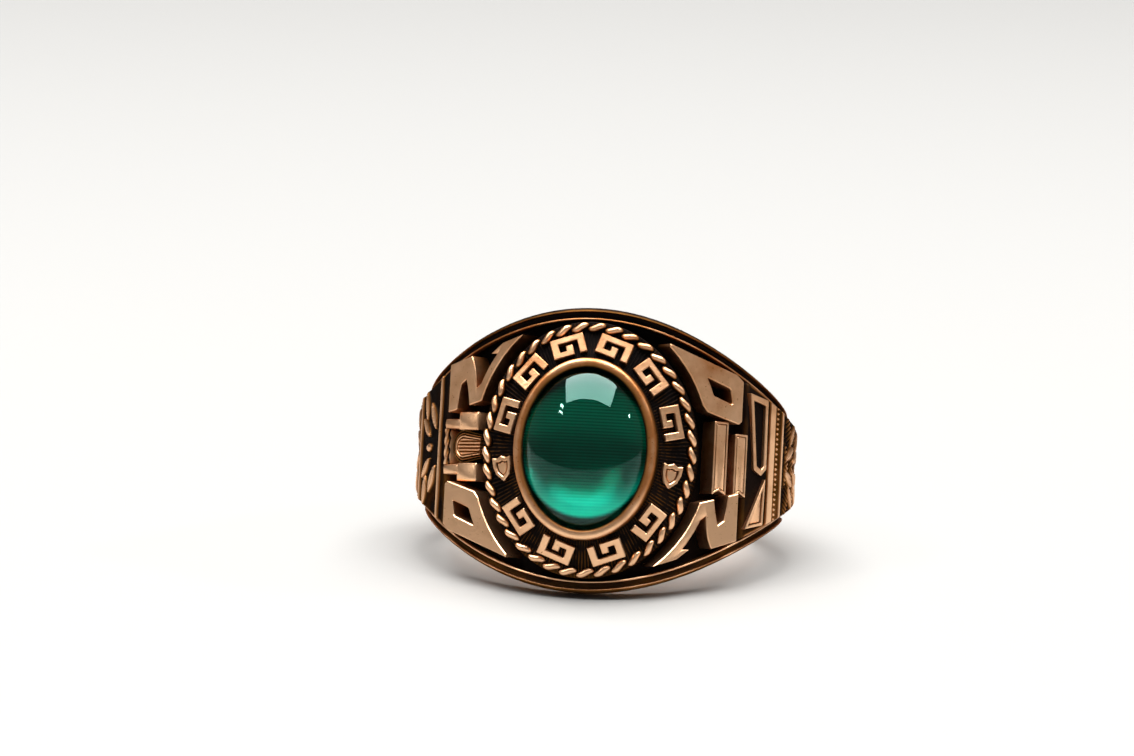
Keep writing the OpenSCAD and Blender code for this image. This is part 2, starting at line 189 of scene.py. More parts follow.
# Outlines and faces
def soften(corners, radius, steps=4, closed=True):
    """Rounds polylines held as (..., corner, coordinates and polish). Each corner becomes a quadratic arc
    between the two points that lie the radius before and after it, or 45 % of the side if that is less."""

    def reach(side):
        """From a corner along a side: the radius, or a share of the side."""
        length = np.linalg.norm(side[..., :-1], axis=-1, keepdims=True)
        return side * np.minimum(np.reshape(radius, (-1, 1)) / np.maximum(length, 1e-9), 0.45)

    corners = np.asarray(corners, float)
    before = corners + reach(np.roll(corners, 1, axis=-2) - corners)
    after = corners + reach(np.roll(corners, -1, axis=-2) - corners)
    t = np.linspace(0, 1, steps)[:, None]
    to_corner = mix(before[..., None, :], corners[..., None, :], t)
    from_corner = mix(corners[..., None, :], after[..., None, :], t)
    arcs = mix(to_corner, from_corner, t)
    rounded = arcs.reshape(*corners.shape[:-2], -1, corners.shape[-1])
    return rounded if closed else rounded[..., steps - 1 : 1 - steps, :]


def quads(rows, cols, close_rows=False, close_cols=False):
    """Quads between the neighbours of a grid of points that are numbered row by row."""
    i = np.arange(rows if close_rows else rows - 1)[:, None]
    j = np.arange(cols if close_cols else cols - 1)[None, :]
    i2, j2 = (i + 1) % rows, (j + 1) % cols
    corners = np.broadcast_arrays(i * cols + j, i2 * cols + j, i2 * cols + j2, i * cols + j2)
    return np.stack(corners, -1).reshape(-1, 4).tolist()


def joined(parts):
    """Several parts as one, with the faces' numbers moved on."""
    points, polish, faces, start = [], [], [], 0
    for part_points, part_polish, part_faces in parts:
        points.append(part_points.reshape(-1, 3))
        polish.append(np.ravel(part_polish))
        faces += [[start + k for k in face] for face in part_faces]
        start += len(points[-1])
    return np.concatenate(points), np.concatenate(polish), faces


def area(outline):
    """Half the sum of the corners' cross products: above zero where an outline runs anticlockwise."""
    x, y = outline.T
    return (x * np.roll(y, -1) - y * np.roll(x, -1)).sum() / 2


def anticlockwise(outline):
    """An outline turned round if it runs clockwise."""
    return outline if area(outline) > 0 else outline[::-1]


def inset(outline, distance):
    """An outline drawn in by a distance: each corner moves along the sum of its sides' inward normals."""
    side = np.roll(outline, -1, axis=0) - outline
    side /= np.linalg.norm(side, axis=1, keepdims=True)
    normal = np.stack([-side[:, 1], side[:, 0]], 1)
    last = np.roll(normal, 1, axis=0)
    return outline + distance * (normal + last) / (1 + (normal * last).sum(1, keepdims=True))


def corners_rounded(outline, radius, steps=3):
    """A flat outline with its corners rounded."""
    flat = np.hstack([outline, np.zeros((len(outline), 1))])
    return soften(flat, radius, steps)[:, :2]


# How polished a raised figure is at its foot, at the top of its walls and on its face
FOOT_POLISH, WALL_POLISH, FACE_POLISH = 0.65, 0.92, 0.97


def stacked(loops):
    """Points and polish of flat loops, given as rows of [loop, height, how polished]."""
    points = np.concatenate([np.column_stack([loop, np.full(len(loop), z)]) for loop, z, _ in loops])
    return points, np.concatenate([np.full(len(loop), polish) for loop, _, polish in loops])


def raised(outline, depth, height, chamfer=0.06, radius=0.08):
    """A flat-topped figure: its rounded outline carried up from the depth below to the height above, a
    chamfer, and a flat face."""
    outline = anticlockwise(outline)
    loop, face = corners_rounded(outline, radius), corners_rounded(inset(outline, chamfer), radius)
    loops = [(loop, -depth, FOOT_POLISH), (loop, height - chamfer, WALL_POLISH), (face, height, FACE_POLISH)]
    points, polish = stacked(loops)
    count = len(loop)
    faces = quads(len(loops), count, close_cols=True)
    return points, polish, faces + [list(range(count)), list(range(2 * count, 3 * count))]


def raised_ring(outside, inside, depth, height, chamfer=0.06, radius=0.08):
    """A figure with a hole: its outer and inner outlines have as many corners as each other, and the
    section runs up the outer wall, across the face and down the inner wall."""
    outside, inside = anticlockwise(outside), anticlockwise(inside)
    outer, inner = corners_rounded(outside, radius), corners_rounded(inside, radius)
    loops = [
        (outer, -depth, FOOT_POLISH),
        (outer, height - chamfer, WALL_POLISH),
        (corners_rounded(inset(outside, chamfer), radius), height, FACE_POLISH),
        (corners_rounded(inset(inside, -chamfer), radius), height, FACE_POLISH),
        (inner, height - chamfer, WALL_POLISH),
        (inner, -depth, FOOT_POLISH),
    ]
    points, polish = stacked(loops)
    return points, polish, quads(len(loops), len(outer), close_rows=True, close_cols=True)


# Materials
def colour(code):
    """An sRGB hex colour as linear red, green, blue and alpha."""
    srgb = np.array([int(code[k : k + 2], 16) for k in (1, 3, 5)]) / 255
    linear = np.where(srgb <= 0.04045, srgb / 12.92, ((srgb + 0.055) / 1.055) ** 2.4)
    return (*linear, 1)


def add(tree, kind, inputs=(), out=0, **settings):
    """Adds a node and gives one of its outputs. Inputs are values or other nodes' outputs, as a list in the
    order of the sockets or a dictionary by their names or numbers. A Map Range takes the value, the range
    it comes from and the range it goes to."""
    made = tree.nodes.new(kind)
    for name, value in settings.items():
        setattr(made, name, value)
    for socket, value in inputs.items() if isinstance(inputs, dict) else enumerate(inputs):
        if isinstance(value, bpy.types.NodeSocket):
            tree.links.new(value, made.inputs[socket])
        else:
            made.inputs[socket].default_value = value
    return made.outputs[out] if made.outputs else None


# A Mix node that mixes two colours: its sockets, its output and its setting
SHARE, FIRST, SECOND = 0, 6, 7
COLOURS = {"out": 2, "data_type": "RGBA"}


def new_material(name):
    """An empty material and its node tree."""
    material = bpy.data.materials.new(name)
    material.use_nodes = True
    material.node_tree.nodes.clear()
    return material, material.node_tree


def ring_place(tree):
    """A place in the ring's own frame, in millimetres: the lean, the lift and the metres are taken back."""
    place = add(tree, "ShaderNodeTexCoord", out="Object")
    settings = {"Vector": place, "Location": MIDDLE * MM, "Rotation": (-LEAN, 0, 0), "Scale": (MM, MM, MM)}
    return add(tree, "ShaderNodeMapping", settings, vector_type="TEXTURE")


# The patina's colours, from the bottom of a recess to a polished face
PATINA = [(0.0, "#0C0A0A"), (0.25, "#211814"), (0.5, "#5E3D18"), (0.75, "#A86C3E"), (1.0, "#F4C296")]
# Sizes of the metal's marks, in mm: patches of rubbing, casting pits, the mop's scratches and its waves
PATCH, PIT, SCRATCH_W, SCRATCH_L, WAVE = 2.0, 0.15, 0.04, 1.0, 1.2
# Heights of its bumps, in mm: waves, cast grain, and the ridges of the hatched ground
WAVE_H, GRAIN_H, RIDGE_H = 0.02, 0.016, 0.03
# Painted light: the half towards the hand is the lower one, as the ring lies with its finger upright, and the
# polish added there paints it brighter and the upper half darker
PAINTED_LIGHT_Z = 6.0  # how far along the finger the wear towards the hand grows, each way from the middle
# What is added to the polish, from the least noise to the most, as painted light from the lower end to the
# upper, and in a pit
PATCH_WEAR, LOW_END_PAINTED_LIGHT, PIT_WEAR = (-0.26, 0.24), (0.1, -0.1), (-0.3, 0.0)
PIT_NOISE = (0.22, 0.32)  # the noise at a pit's bottom and at its edge
ROUGHNESS, SCRATCH_ROUGHNESS = (0.55, 0.26), 0.16
RIDGE_WEAR = 0.32  # how much more the hatching's ridges are polished


def antiqued_bronze(name, hatched=False):
    """Rose bronze, lost-wax cast, blackened and then polished back: raised faces are bright and pinkish,
    walls brown gold, and recesses nearly black and dull. Polishing leaves fine scratches and a few pits."""
    material, tree = new_material(name)
    place = ring_place(tree)
    polish = add(tree, "ShaderNodeAttribute", out="Fac", attribute_name="polish")
    cloud = {"Vector": place, "Scale": 1 / PATCH, "Detail": 4.0, "Roughness": 0.5}
    patches = add(tree, "ShaderNodeTexNoise", cloud)
    grit = add(tree, "ShaderNodeTexNoise", {"Vector": place, "Scale": 1 / PIT, "Detail": 2.0})
    waves = add(tree, "ShaderNodeTexNoise", {"Vector": place, "Scale": 1 / WAVE, "Detail": 1.0})
    along = add(tree, "ShaderNodeSeparateXYZ", [place], out="Z")

    # What is added to the polish: patches, painted light that brightens the lower half along the finger and
    # darkens the upper, and pits
    changes = [
        add(tree, "ShaderNodeMapRange", [patches, 0.0, 1.0, *PATCH_WEAR]),
        add(tree, "ShaderNodeMapRange", [along, -PAINTED_LIGHT_Z, PAINTED_LIGHT_Z, *LOW_END_PAINTED_LIGHT]),
        add(tree, "ShaderNodeMapRange", [grit, *PIT_NOISE, *PIT_WEAR]),
    ]
    bumps = [(waves, 1.0, WAVE_H), (grit, 0.8, GRAIN_H)]
    if hatched:
        ridges = hatch(tree, place, polish)
        changes.append(add(tree, "ShaderNodeMath", [ridges, RIDGE_WEAR], operation="MULTIPLY"))
        bumps.append((ridges, 1.0, RIDGE_H))
    worn = polish
    for change in changes:
        worn = add(tree, "ShaderNodeMath", [worn, change], operation="ADD")
    # Each bump is laid over the one before
    normal = {}
    for height, strength, size in bumps:
        bump = {"Height": height, "Strength": strength, "Distance": size * MM, **normal}
        normal = {"Normal": add(tree, "ShaderNodeBump", bump)}

    base = add(tree, "ShaderNodeValToRGB", [worn])
    stops = base.node.color_ramp.elements
    while len(stops) < len(PATINA):
        stops.new(0.5)
    for stop, (position, code) in zip(stops, PATINA):
        stop.position = position
        stop.color = colour(code)
    metallic = add(tree, "ShaderNodeMapRange", [worn, 0.05, 0.3, 0.8, 1.0])
    # The patina is dull even when seen along its surface
    tints = {SHARE: worn, FIRST: colour("#4A382C"), SECOND: colour("#FFF4EA")}
    grazing = add(tree, "ShaderNodeMix", tints, **COLOURS)
    scratch = (1 / SCRATCH_W, 1 / SCRATCH_L, 1 / SCRATCH_W)
    mop = add(tree, "ShaderNodeMapping", {"Vector": place, "Rotation": (0.4, 0.3, 0.7), "Scale": scratch})
    scratches = add(tree, "ShaderNodeTexNoise", {"Vector": mop, "Scale": 1.0, "Detail": 2.0})
    gloss = add(tree, "ShaderNodeMapRange", [worn, 0.2, 1.0, *ROUGHNESS])
    rough = add(tree, "ShaderNodeMath", [scratches, SCRATCH_ROUGHNESS, gloss], operation="MULTIPLY_ADD")

    metal = {"Base Color": base, "Metallic": metallic, "Roughness": rough, "Specular Tint": grazing, **normal}
    shader = add(tree, "ShaderNodeBsdfPrincipled", metal)
    add(tree, "ShaderNodeOutputMaterial", {"Surface": shader})
    return material


HATCH_LINES = 184  # round the band, about 0.17 mm apart
HATCH_BREAK = 0.5  # mm across a stretch that keeps its lines or loses them


def hatch(tree, place, polish):
    """Height of the fine ridges across the band, from 0 to 1: a sine of the angle round the oval, above
    zero, only where the metal is dark. Noise breaks them off."""
    part = add(tree, "ShaderNodeSeparateXYZ", [place]).node.outputs
    across = add(tree, "ShaderNodeMath", [part["X"], ROPE_OVAL[1] / ROPE_OVAL[0]], operation="MULTIPLY")
    angle = add(tree, "ShaderNodeMath", [part["Z"], across], operation="ARCTAN2")
    turns = add(tree, "ShaderNodeMath", [angle, float(HATCH_LINES)], operation="MULTIPLY")
    line = add(tree, "ShaderNodeMath", [turns], operation="SINE")
    broken = add(tree, "ShaderNodeTexNoise", {"Vector": place, "Scale": 1 / HATCH_BREAK, "Detail": 3.0})
    ridge = add(tree, "ShaderNodeMapRange", [line, 0.0, 0.9, 0.0, 1.0])
    kept = add(tree, "ShaderNodeMapRange", [broken, 0.35, 0.55, 0.3, 1.0])
    dark = add(tree, "ShaderNodeMapRange", [polish, 0.1, 0.3, 1.0, 0.0])
    height = add(tree, "ShaderNodeMath", [ridge, kept], operation="MULTIPLY")
    return add(tree, "ShaderNodeMath", [height, dark], operation="MULTIPLY")


def green_glass():
    """Green glass cabochon, moulded and fire-polished: a clear, wet, faintly green gloss over deep green."""
    material, tree = new_material("green_glass_moulded")
    glass = {
        "Base Color": colour("#F4FFFA"),
        "Roughness": 0.01,
        "IOR": 1.48,
        "Transmission Weight": 1.0,
        "Specular Tint": colour("#B8FFEE"),
    }
    shader = add(tree, "ShaderNodeBsdfPrincipled", glass)
    depth = add(tree, "ShaderNodeVolumeAbsorption", {"Color": colour("#00EFEB"), "Density": 900.0})
    add(tree, "ShaderNodeOutputMaterial", {"Surface": shader, "Volume": depth})
    return material


# The foil's painted glow lies between two ovals, in mm: outside the first, round a point above the middle,
# and inside the second, beyond which the edge is painted in shade. Each changes over from one share of its
# half axes to another
FOIL_MIDDLE, FOIL_OVAL, FOIL_RIM_SHARES = 1.6, (4.3, 5.6), (0.63, 0.92)
SHADED_EDGE_OVAL, SHADED_EDGE_SHARES = (3.15, 3.6), (0.92, 1.0)
FOIL_HIGH, FOIL_LOW = 0.48, -1.87  # where the bright end begins and is full
FOIL_LINE = 0.16  # from line to line


def beyond(tree, place, middle, axes, shares):
    """0 inside an oval and 1 outside it: an S-curve of how far a place lies from its middle, in half axes."""
    part = add(tree, "ShaderNodeSeparateXYZ", [place]).node.outputs
    across = add(tree, "ShaderNodeMath", [part["X"], axes[0]], operation="DIVIDE")
    from_middle = add(tree, "ShaderNodeMath", [part["Z"], middle], operation="SUBTRACT")
    along = add(tree, "ShaderNodeMath", [from_middle, axes[1]], operation="DIVIDE")
    flat = add(tree, "ShaderNodeCombineXYZ", [across, along])
    share = add(tree, "ShaderNodeVectorMath", [flat], out="Value", operation="LENGTH")
    return add(tree, "ShaderNodeMapRange", [share, *shares, 0.0, 1.0], interpolation_type="SMOOTHSTEP")


def lined_foil():
    """Lined reflecting foil under the stone, dark green, with painted light and shade for the light the dome
    gathers: a pale painted glow at its low end, and painted shade round its rim and edge. Fine lines run
    across it."""
    material, tree = new_material("lined_green_foil_painted_light")
    place = ring_place(tree)
    along = add(tree, "ShaderNodeSeparateXYZ", [place], out="Z")
    phase = add(tree, "ShaderNodeMath", [along, TURN / FOIL_LINE], operation="MULTIPLY")
    line = add(tree, "ShaderNodeMath", [phase], operation="SINE")
    shade = add(tree, "ShaderNodeMapRange", [line, -1.0, 1.0, 0.55, 1.0])

    rim = beyond(tree, place, FOIL_MIDDLE, FOIL_OVAL, FOIL_RIM_SHARES)
    edge = beyond(tree, place, 0.0, SHADED_EDGE_OVAL, SHADED_EDGE_SHARES)
    low_end = [along, FOIL_HIGH, FOIL_LOW, 0.0, 1.0]
    low = add(tree, "ShaderNodeMapRange", low_end, interpolation_type="SMOOTHSTEP")
    # Painted light: the low end of the rim glows pale green
    low_rim = add(tree, "ShaderNodeMath", [rim, low], operation="MULTIPLY")
    painted_glow = add(tree, "ShaderNodeMath", [low_rim, edge], operation="SUBTRACT", use_clamp=True)
    # Painted shade: the rest of the rim and the edge are darkened
    dark = add(tree, "ShaderNodeMath", [rim, edge], operation="MAXIMUM")

    greens = {SHARE: dark, FIRST: colour("#1C7660"), SECOND: colour("#0A2A20")}
    green_in_painted_shade = add(tree, "ShaderNodeMix", greens, **COLOURS)
    metals = {SHARE: painted_glow, FIRST: green_in_painted_shade, SECOND: colour("#A6EAD6")}
    metal = add(tree, "ShaderNodeMix", metals, **COLOURS)
    # The lines hardly show in the painted glow
    shown = add(tree, "ShaderNodeMapRange", [painted_glow, 0.0, 1.0, 1.0, 0.1])
    lines = {SHARE: shown, FIRST: metal, SECOND: shade}
    base = add(tree, "ShaderNodeMix", lines, blend_type="MULTIPLY", **COLOURS)
    rough = add(tree, "ShaderNodeMapRange", [painted_glow, 0.0, 1.0, 0.3, 0.65])
    shader = add(tree, "ShaderNodeBsdfPrincipled", {"Base Color": base, "Metallic": 1.0, "Roughness": rough})
    add(tree, "ShaderNodeOutputMaterial", {"Surface": shader})
    return material


def white_paper():
    """Matt white paper for the floor."""
    material, tree = new_material("matt_white_paper")
    shader = add(tree, "ShaderNodeBsdfPrincipled", {"Base Color": colour("#949391"), "Roughness": 0.9})
    add(tree, "ShaderNodeOutputMaterial", {"Surface": shader})
    return material


bronze = antiqued_bronze("antiqued_bronze_cast")
bronze_hatched = antiqued_bronze("antiqued_bronze_cut_ground", hatched=True)


def add_piece(name, part, materials, node, sharp):
    """A part as a piece in the scene, with edges sharper than an angle, in degrees, left sharp."""
    points, polish, faces = part
    mesh = bpy.data.meshes.new(name)
    mesh.from_pydata(to_row(points.reshape(-1, 3)).tolist(), [], faces)
    turned = bmesh.new()
    turned.from_mesh(mesh)
    bmesh.ops.recalc_face_normals(turned, faces=turned.faces)
    turned.to_mesh(mesh)
    turned.free()
    mesh.shade_smooth()
    mesh.set_sharp_from_angle(angle=np.radians(sharp))
    worn = mesh.attributes.new("polish", "FLOAT", "POINT")
    worn.data.foreach_set("value", np.asarray(polish, np.float32).ravel())
    for material in materials:
        mesh.materials.append(material)
    piece = bpy.data.objects.new(name, mesh)
    bpy.context.scene.collection.objects.link(piece)
    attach(piece, "root")
    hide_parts(node)
    return piece


def cast(name, part, sharp=35, metal=bronze):
    """A piece of the one casting."""
    return add_piece(name, part, [metal], "ring_casting", sharp)


# The hoop
FULL_POLISH = 1.15  # over 1, so that patches of the patina don't reach what the finger polishes
FLOOR_ROUND = 0.6


def hoop(steps=420):
    """The hoop's section carried round the finger. The section runs over the rims, grooves, wires and
    recess, each from its own width and radius at that angle, and back through the bore."""
    a = np.arange(steps) * TURN / steps
    w, r, c = half_w(a), border_r(a), carved(a)
    p = w - BORDER_W
    floor_r, groove_r = r - RECESS_D * c, r - GROOVE_D * c
    bulge = BACK_CROWN * (1 - c)
    plain = FULL_POLISH * (1 - c)
    bore = np.full(steps, BORE_R)
    half = [  # place along the finger, radius, how polished, rounding
        (0 * w, floor_r + bulge, 0.02 + plain, FLOOR_ROUND),
        (p / 2, floor_r + bulge * 3 / 4, 0.02 + plain, FLOOR_ROUND),
        (p, floor_r + bulge / 4, 0.0 + plain, 0.08),
        (p + DRAFT, r, 0.9, 0.05),
        (p + WIRE_W - DRAFT, r, 0.9, 0.05),
        (p + WIRE_W, groove_r, 0.22 + plain, 0.06),
        (w - RIM_W, groove_r, 0.3 + plain, 0.06),
        (w - RIM_W + DRAFT, r, 0.95, 0.08),
        (w - EDGE, r, 0.55 + plain, 0.12),
        (w, r - EDGE, 0.28 + plain, 0.12),
        (w, bore + EDGE, 0.85 + plain, 0.12),
        (w - EDGE, bore, FULL_POLISH, 0.12),
    ]
    rows = [np.stack([x, y, np.clip(q + 0 * w, 0, FULL_POLISH)], -1) for x, y, q, _ in half]
    rounding = [row[3] for row in half]
    section = np.stack([row * [-1, 1, 1] for row in rows[:0:-1]] + rows, 1)
    section = soften(section, np.array(rounding[:0:-1] + rounding))
    points = round_finger(a[:, None], section[..., 1], section[..., 0])
    return points, section[..., 2], quads(steps, section.shape[1], close_rows=True, close_cols=True)


# The crown
# Painted shade: the crown is painted darker at its two sides across the face, through a lower polish
SIDE_PAINTED_SHADE = 0.16  # how much less the crown is polished at its two sides
FOOT_SHARES, FOOT_ROUND = (0.02, 0.6, 1.0), 0.01


def crown(steps=288):
    """The crown's profile carried round its ovals: shelf, sloping band, bezel, lip and the stone's seat.
    Each corner of the profile is an oval with its own height and drop. Its foot lies on a cylinder inside
    the hoop's wall, and is closed by smaller ovals on the same cylinder."""
    profile = [  # half axes, height, drop, how polished, rounding
        (CROWN_OVAL, SHELF_N, SHELF_DROP, 0.25, 0.06),
        (BAND_OVAL, SHELF_N + DRAFT, BAND_DROP, 0.02, 0.06),
        (BEZEL_OVAL, BEZEL_FOOT_N, BEZEL_DROP, 0.02, 0.05),
        (BEZEL_OVAL - BEZEL_ROUND / 2, BEZEL_N - BEZEL_ROUND, 0, 0.9, 0.14),
        (BEZEL_OVAL - BEZEL_ROUND * 2, BEZEL_N, 0, 1.0, 0.2),
        (LIP_OVAL + BEZEL_ROUND, BEZEL_N, 0, 0.75, 0.1),
        (LIP_OVAL, BEZEL_N - BEZEL_ROUND, 0, 0.05, 0.05),
        (SEAT_OVAL, GIRDLE_N + STONE_GAP + SEAT_WALL, 0, 0.1, 0.03),
        (SEAT_OVAL, SEAT_N, 0, 0.0, 0.03),
    ]
    t = np.arange(steps) * TURN / steps
    rings = []
    for share in FOOT_SHARES:
        n = np.sqrt(FOOT_R**2 - (share * CROWN_OVAL[0] * np.cos(t)) ** 2)
        rings.append(np.column_stack([oval_point(share * CROWN_OVAL, n, 0, t), 0 * t]))
    for axes, n, drop, polish, _ in profile:
        # Painted shade at the two sides
        side_shaded = polish * (1 - SIDE_PAINTED_SHADE * np.cos(t) ** 2)
        rings.append(np.column_stack([oval_point(axes, n, drop, t), side_shaded]))
    rounding = [FOOT_ROUND] * len(FOOT_SHARES) + [row[4] for row in profile]
    rounded = soften(np.stack(rings, 1), np.array(rounding), 5, closed=False)
    cols = rounded.shape[1]
    faces = quads(steps, cols, close_rows=True)
    faces += [(np.arange(steps) * cols + k).tolist() for k in (0, cols - 1)]
    return rounded[..., :3], rounded[..., 3], faces


# How a strand swells: powers for its height along it, and for the sides and the top of its section
STRAND_ENDS, STRAND_SIDES, STRAND_TOP = 0.7, 0.85, 0.8
STRAND_WORN = (0.15, 0.85)  # from and to which share of its height it is polished


def even(t):
    """Even steps along the rope's oval, from even steps of angle."""
    x, z = ROPE_OVAL**2
    return t - (z - x) / (z + x) / 4 * np.sin(2 * t)


def powered(value, power):
    """A power of the size of a value, with the value's sign."""
    return np.sign(value) * np.abs(value) ** power


def strand(along=22, round_it=14):
    """A grain pointed at both ends: at each place along it an oval section, its width and height falling
    off to the ends, and its middle swung into a flat S. Polished on top and black at its foot."""
    pitch = TURN * np.sqrt((ROPE_OVAL**2).sum() / 2) / STRANDS
    s = np.linspace(-1, 1, along)[:, None]
    q = np.arange(round_it)[None, :] * TURN / round_it
    swell = np.sqrt(np.maximum(1 - s**2, 0))
    x = s * pitch * STRAND_LAP / 2 + 0 * q
    y = STRAND_W / 2 * swell * powered(np.cos(q), STRAND_SIDES) + STRAND_SWING * np.sin(np.pi * s)
    z = STRAND_H * swell**STRAND_ENDS * powered(np.sin(q), STRAND_TOP)
    turned_x = x * np.cos(STRAND_SLANT) - y * np.sin(STRAND_SLANT)
    turned_y = x * np.sin(STRAND_SLANT) + y * np.cos(STRAND_SLANT)
    polish = smooth(*STRAND_WORN, z / STRAND_H)
    return np.stack([turned_x, turned_y, z], -1), polish, quads(along, round_it, close_cols=True)


def rope():
    """The strands set side by side round the oval of the rope, each tilted with its shelf."""
    grain, parts = strand(), []
    for t in even(np.arange(STRANDS) * TURN / STRANDS):
        tilt = np.arctan(SAG / 2 * np.cos(t) ** 2)
        parts.append(on_oval(ROPE_OVAL, SHELF_N, SHELF_DROP, t, tilt, grain))
    return joined(parts)


# The band's ornament, drawn on a unit square
KEY = np.array(
    [
        [0, 0], [1, 0], [1, 1], [0.38, 1], [0.38, 0.46], [0.58, 0.46],
        [0.58, 0.72], [0.79, 0.72], [0.79, 0.28], [0.21, 0.28], [0.21, 1], [0, 1],
    ]
)  # fmt: skip
SHIELD = np.array([[0, -0.5], [0.3, -0.22], [0.4, 0.1], [0.4, 0.45], [0.2, 0.4], [0, 0.5]])
SHIELD_EDGE, SHIELD_FIELD, FIELD_DROP = 0.62, 0.5, 0.06
KEYS_AT = np.radians([17, 45.5, 74.5, 105.5, 134.5, 163, -41, -73, -107, -139])
SHIELDS_AT = np.radians([-12, -168])
MIDDLE_OVAL = (BEZEL_OVAL + BAND_OVAL) / 2
MIDDLE_N = (BEZEL_FOOT_N + SHELF_N) / 2
MIDDLE_DROP = (BEZEL_DROP + BAND_DROP) / 2


def on_band(t, part):
    """Sets a part on the band, tilted by a share of the slope between the shelf and the bezel's foot."""
    rise = BEZEL_FOOT_N - SHELF_N + (BAND_DROP - BEZEL_DROP) * np.cos(t) ** 2
    slope = np.arctan(rise / mix(BAND_W[1], BAND_W[0], np.cos(t) ** 2))
    return on_oval(MIDDLE_OVAL, MIDDLE_N, MIDDLE_DROP, t, ORNAMENT_TILT * slope, part)


def fret():
    """The keys, each a raised outline set square on the band."""
    key = raised((KEY - 0.5) * [KEY_W, KEY_H], ORNAMENT_ROOT, ORNAMENT_H, chamfer=0.045, radius=0.05)
    return joined([on_band(t, key) for t in KEYS_AT])


def shields():
    """Two small shields: a raised edge round a plain field that lies a little lower."""
    half = SHIELD * SHIELD_H
    outline = np.concatenate([half, half[-2:0:-1] * [-1, 1]])
    small = {"chamfer": 0.04, "radius": 0.04}
    edge = raised_ring(outline, outline * SHIELD_EDGE, ORNAMENT_ROOT, ORNAMENT_H, **small)
    field = raised(outline * SHIELD_FIELD, ORNAMENT_ROOT, ORNAMENT_H - FIELD_DROP, **small)
    points, polish, faces = joined([edge, field])
    parts = []
    for t in SHIELDS_AT:
        turn = -np.sign(np.cos(t))
        upright = np.stack([-turn * points[:, 1], turn * points[:, 0], points[:, 2]], -1)
        parts.append(on_band(t, (upright, polish, faces)))
    return joined(parts)


# The shoulders. A numeral is drawn on a unit square, across and up from its foot
FOOT_X, TIP_X = NUMERAL_L / 2, -NUMERAL_L / 2
ROPE_GAP = CROWN_OVAL + 2 * NUMERAL_GAP
ZERO_OUT = np.array([[0.08, 0], [0.92, 0], [1, 0.08], [1, 0.92], [0.92, 1], [0.08, 1], [0, 0.92], [0, 0.08]])
ZERO_IN = np.array(
    [
        [0.36, 0.22], [0.62, 0.22], [0.64, 0.24], [0.64, 0.6],
        [0.62, 0.62], [0.36, 0.62], [0.34, 0.6], [0.34, 0.24],
    ]
)  # fmt: skip
TWO = np.array(
    [
        [0, 0], [1, 0], [1, 0.26], [0.52, 0.26], [0.47, 0.35], [1, 0.63], [1, 1],
        [0, 1], [0, 0.72], [0.14, 0.65], [0.2, 0.79], [0.68, 0.79], [0.73, 0.7], [0, 0.3],
    ]
)  # fmt: skip
LONG_SIDE = 0.25  # a side longer than this share of the square is bent with its cell


def room(x):
    """Room for a numeral beside the middle line, at a place away from the head."""
    return half_w(NUMERAL_A + np.arctan(x / NUMERAL_R)) - BORDER_W - NUMERAL_GAP


def beside_rope(y):
    """How far from the numeral's middle the gap beside the rope's oval lies, at a place along the finger."""
    wide, long = ROPE_GAP
    return (wide * np.sqrt(1 - (y / long) ** 2) - NUMERAL_R * np.sin(NUMERAL_A)) / np.cos(NUMERAL_A)


def in_cell(outline, parts=6):
    """An outline of the unit square set in the numeral's corner cell, each long side in several parts. The
    cell's foot is straight, its top follows the rope's oval, and its sides run between them."""
    fine = []
    for start, end in zip(outline, np.roll(outline, -1, axis=0)):
        count = parts if np.linalg.norm(end - start) > LONG_SIDE else 1
        fine.append(mix(start, end, np.arange(count)[:, None] / count))
    fine = np.concatenate(fine)
    across, up = fine[:, :1], fine[:, 1:]
    foot = np.hstack([np.full_like(across, FOOT_X), mix(MIDDLE_W, room(FOOT_X), across)])
    y = mix(ROPE_SIDE_W, room(TIP_X), across)
    return mix(foot, np.hstack([beside_rope(y), y]), up)


def numerals():
    """The numerals of one side, above and below its middle line."""
    deep = NUMERAL_R - FOOT_R
    small = {"chamfer": 0.05, "radius": 0.03}
    zero = raised_ring(in_cell(ZERO_OUT), in_cell(ZERO_IN), deep, 0, **small)
    two = raised(in_cell(TWO * [-1, 1] + [1, 0]) * [1, -1], deep, 0, **small)
    return on_round(NUMERAL_A, NUMERAL_R, joined([zero, two]))


def shoulder_block(a, y, size, height=0.0):
    """A flat-topped block on the shoulder."""
    square = np.array([[-1, -1], [1, -1], [1, 1], [-1, 1]]) * np.array(size) / 2 + [0, y]
    return on_round(a, SHOULDER_R, raised(square, RELIEF_DEPTH, height, chamfer=0.08, radius=0.1))


# The ribbons: degrees round the finger, share of the full length, and how far it is shifted
RIBBONS = [(40.7, 1.0, 0.0), (48.4, 0.86, -0.08)]
RIBBON_EDGE, LINE_W, LINE_D = 0.12, 0.05, 0.01


def ribbons():
    """Two ribbons across the right shoulder with an engraved edge line, swallow-tailed at one end."""
    parts = []
    for angle, share, shift in RIBBONS:
        x, y = RIBBON_W / 2, RIBBON_L * share / 2
        outline = np.array([[-x, -y], [0, RIBBON_W / 4 - y], [x, -y], [x, y], [0, y], [-x, y]])
        small = {"chamfer": 0.03, "radius": 0.05}
        edge = raised_ring(outline, inset(outline, RIBBON_EDGE), RELIEF_DEPTH, 0, **small)
        field = raised(inset(outline, RIBBON_EDGE + LINE_W), RELIEF_DEPTH, -LINE_D, **small)
        points, polish, faces = joined([edge, field])
        points = points + [0, RIBBON_L * shift, 0]
        parts.append(on_round(np.radians(angle), SHOULDER_R, (points, polish, faces)))
    return joined(parts)


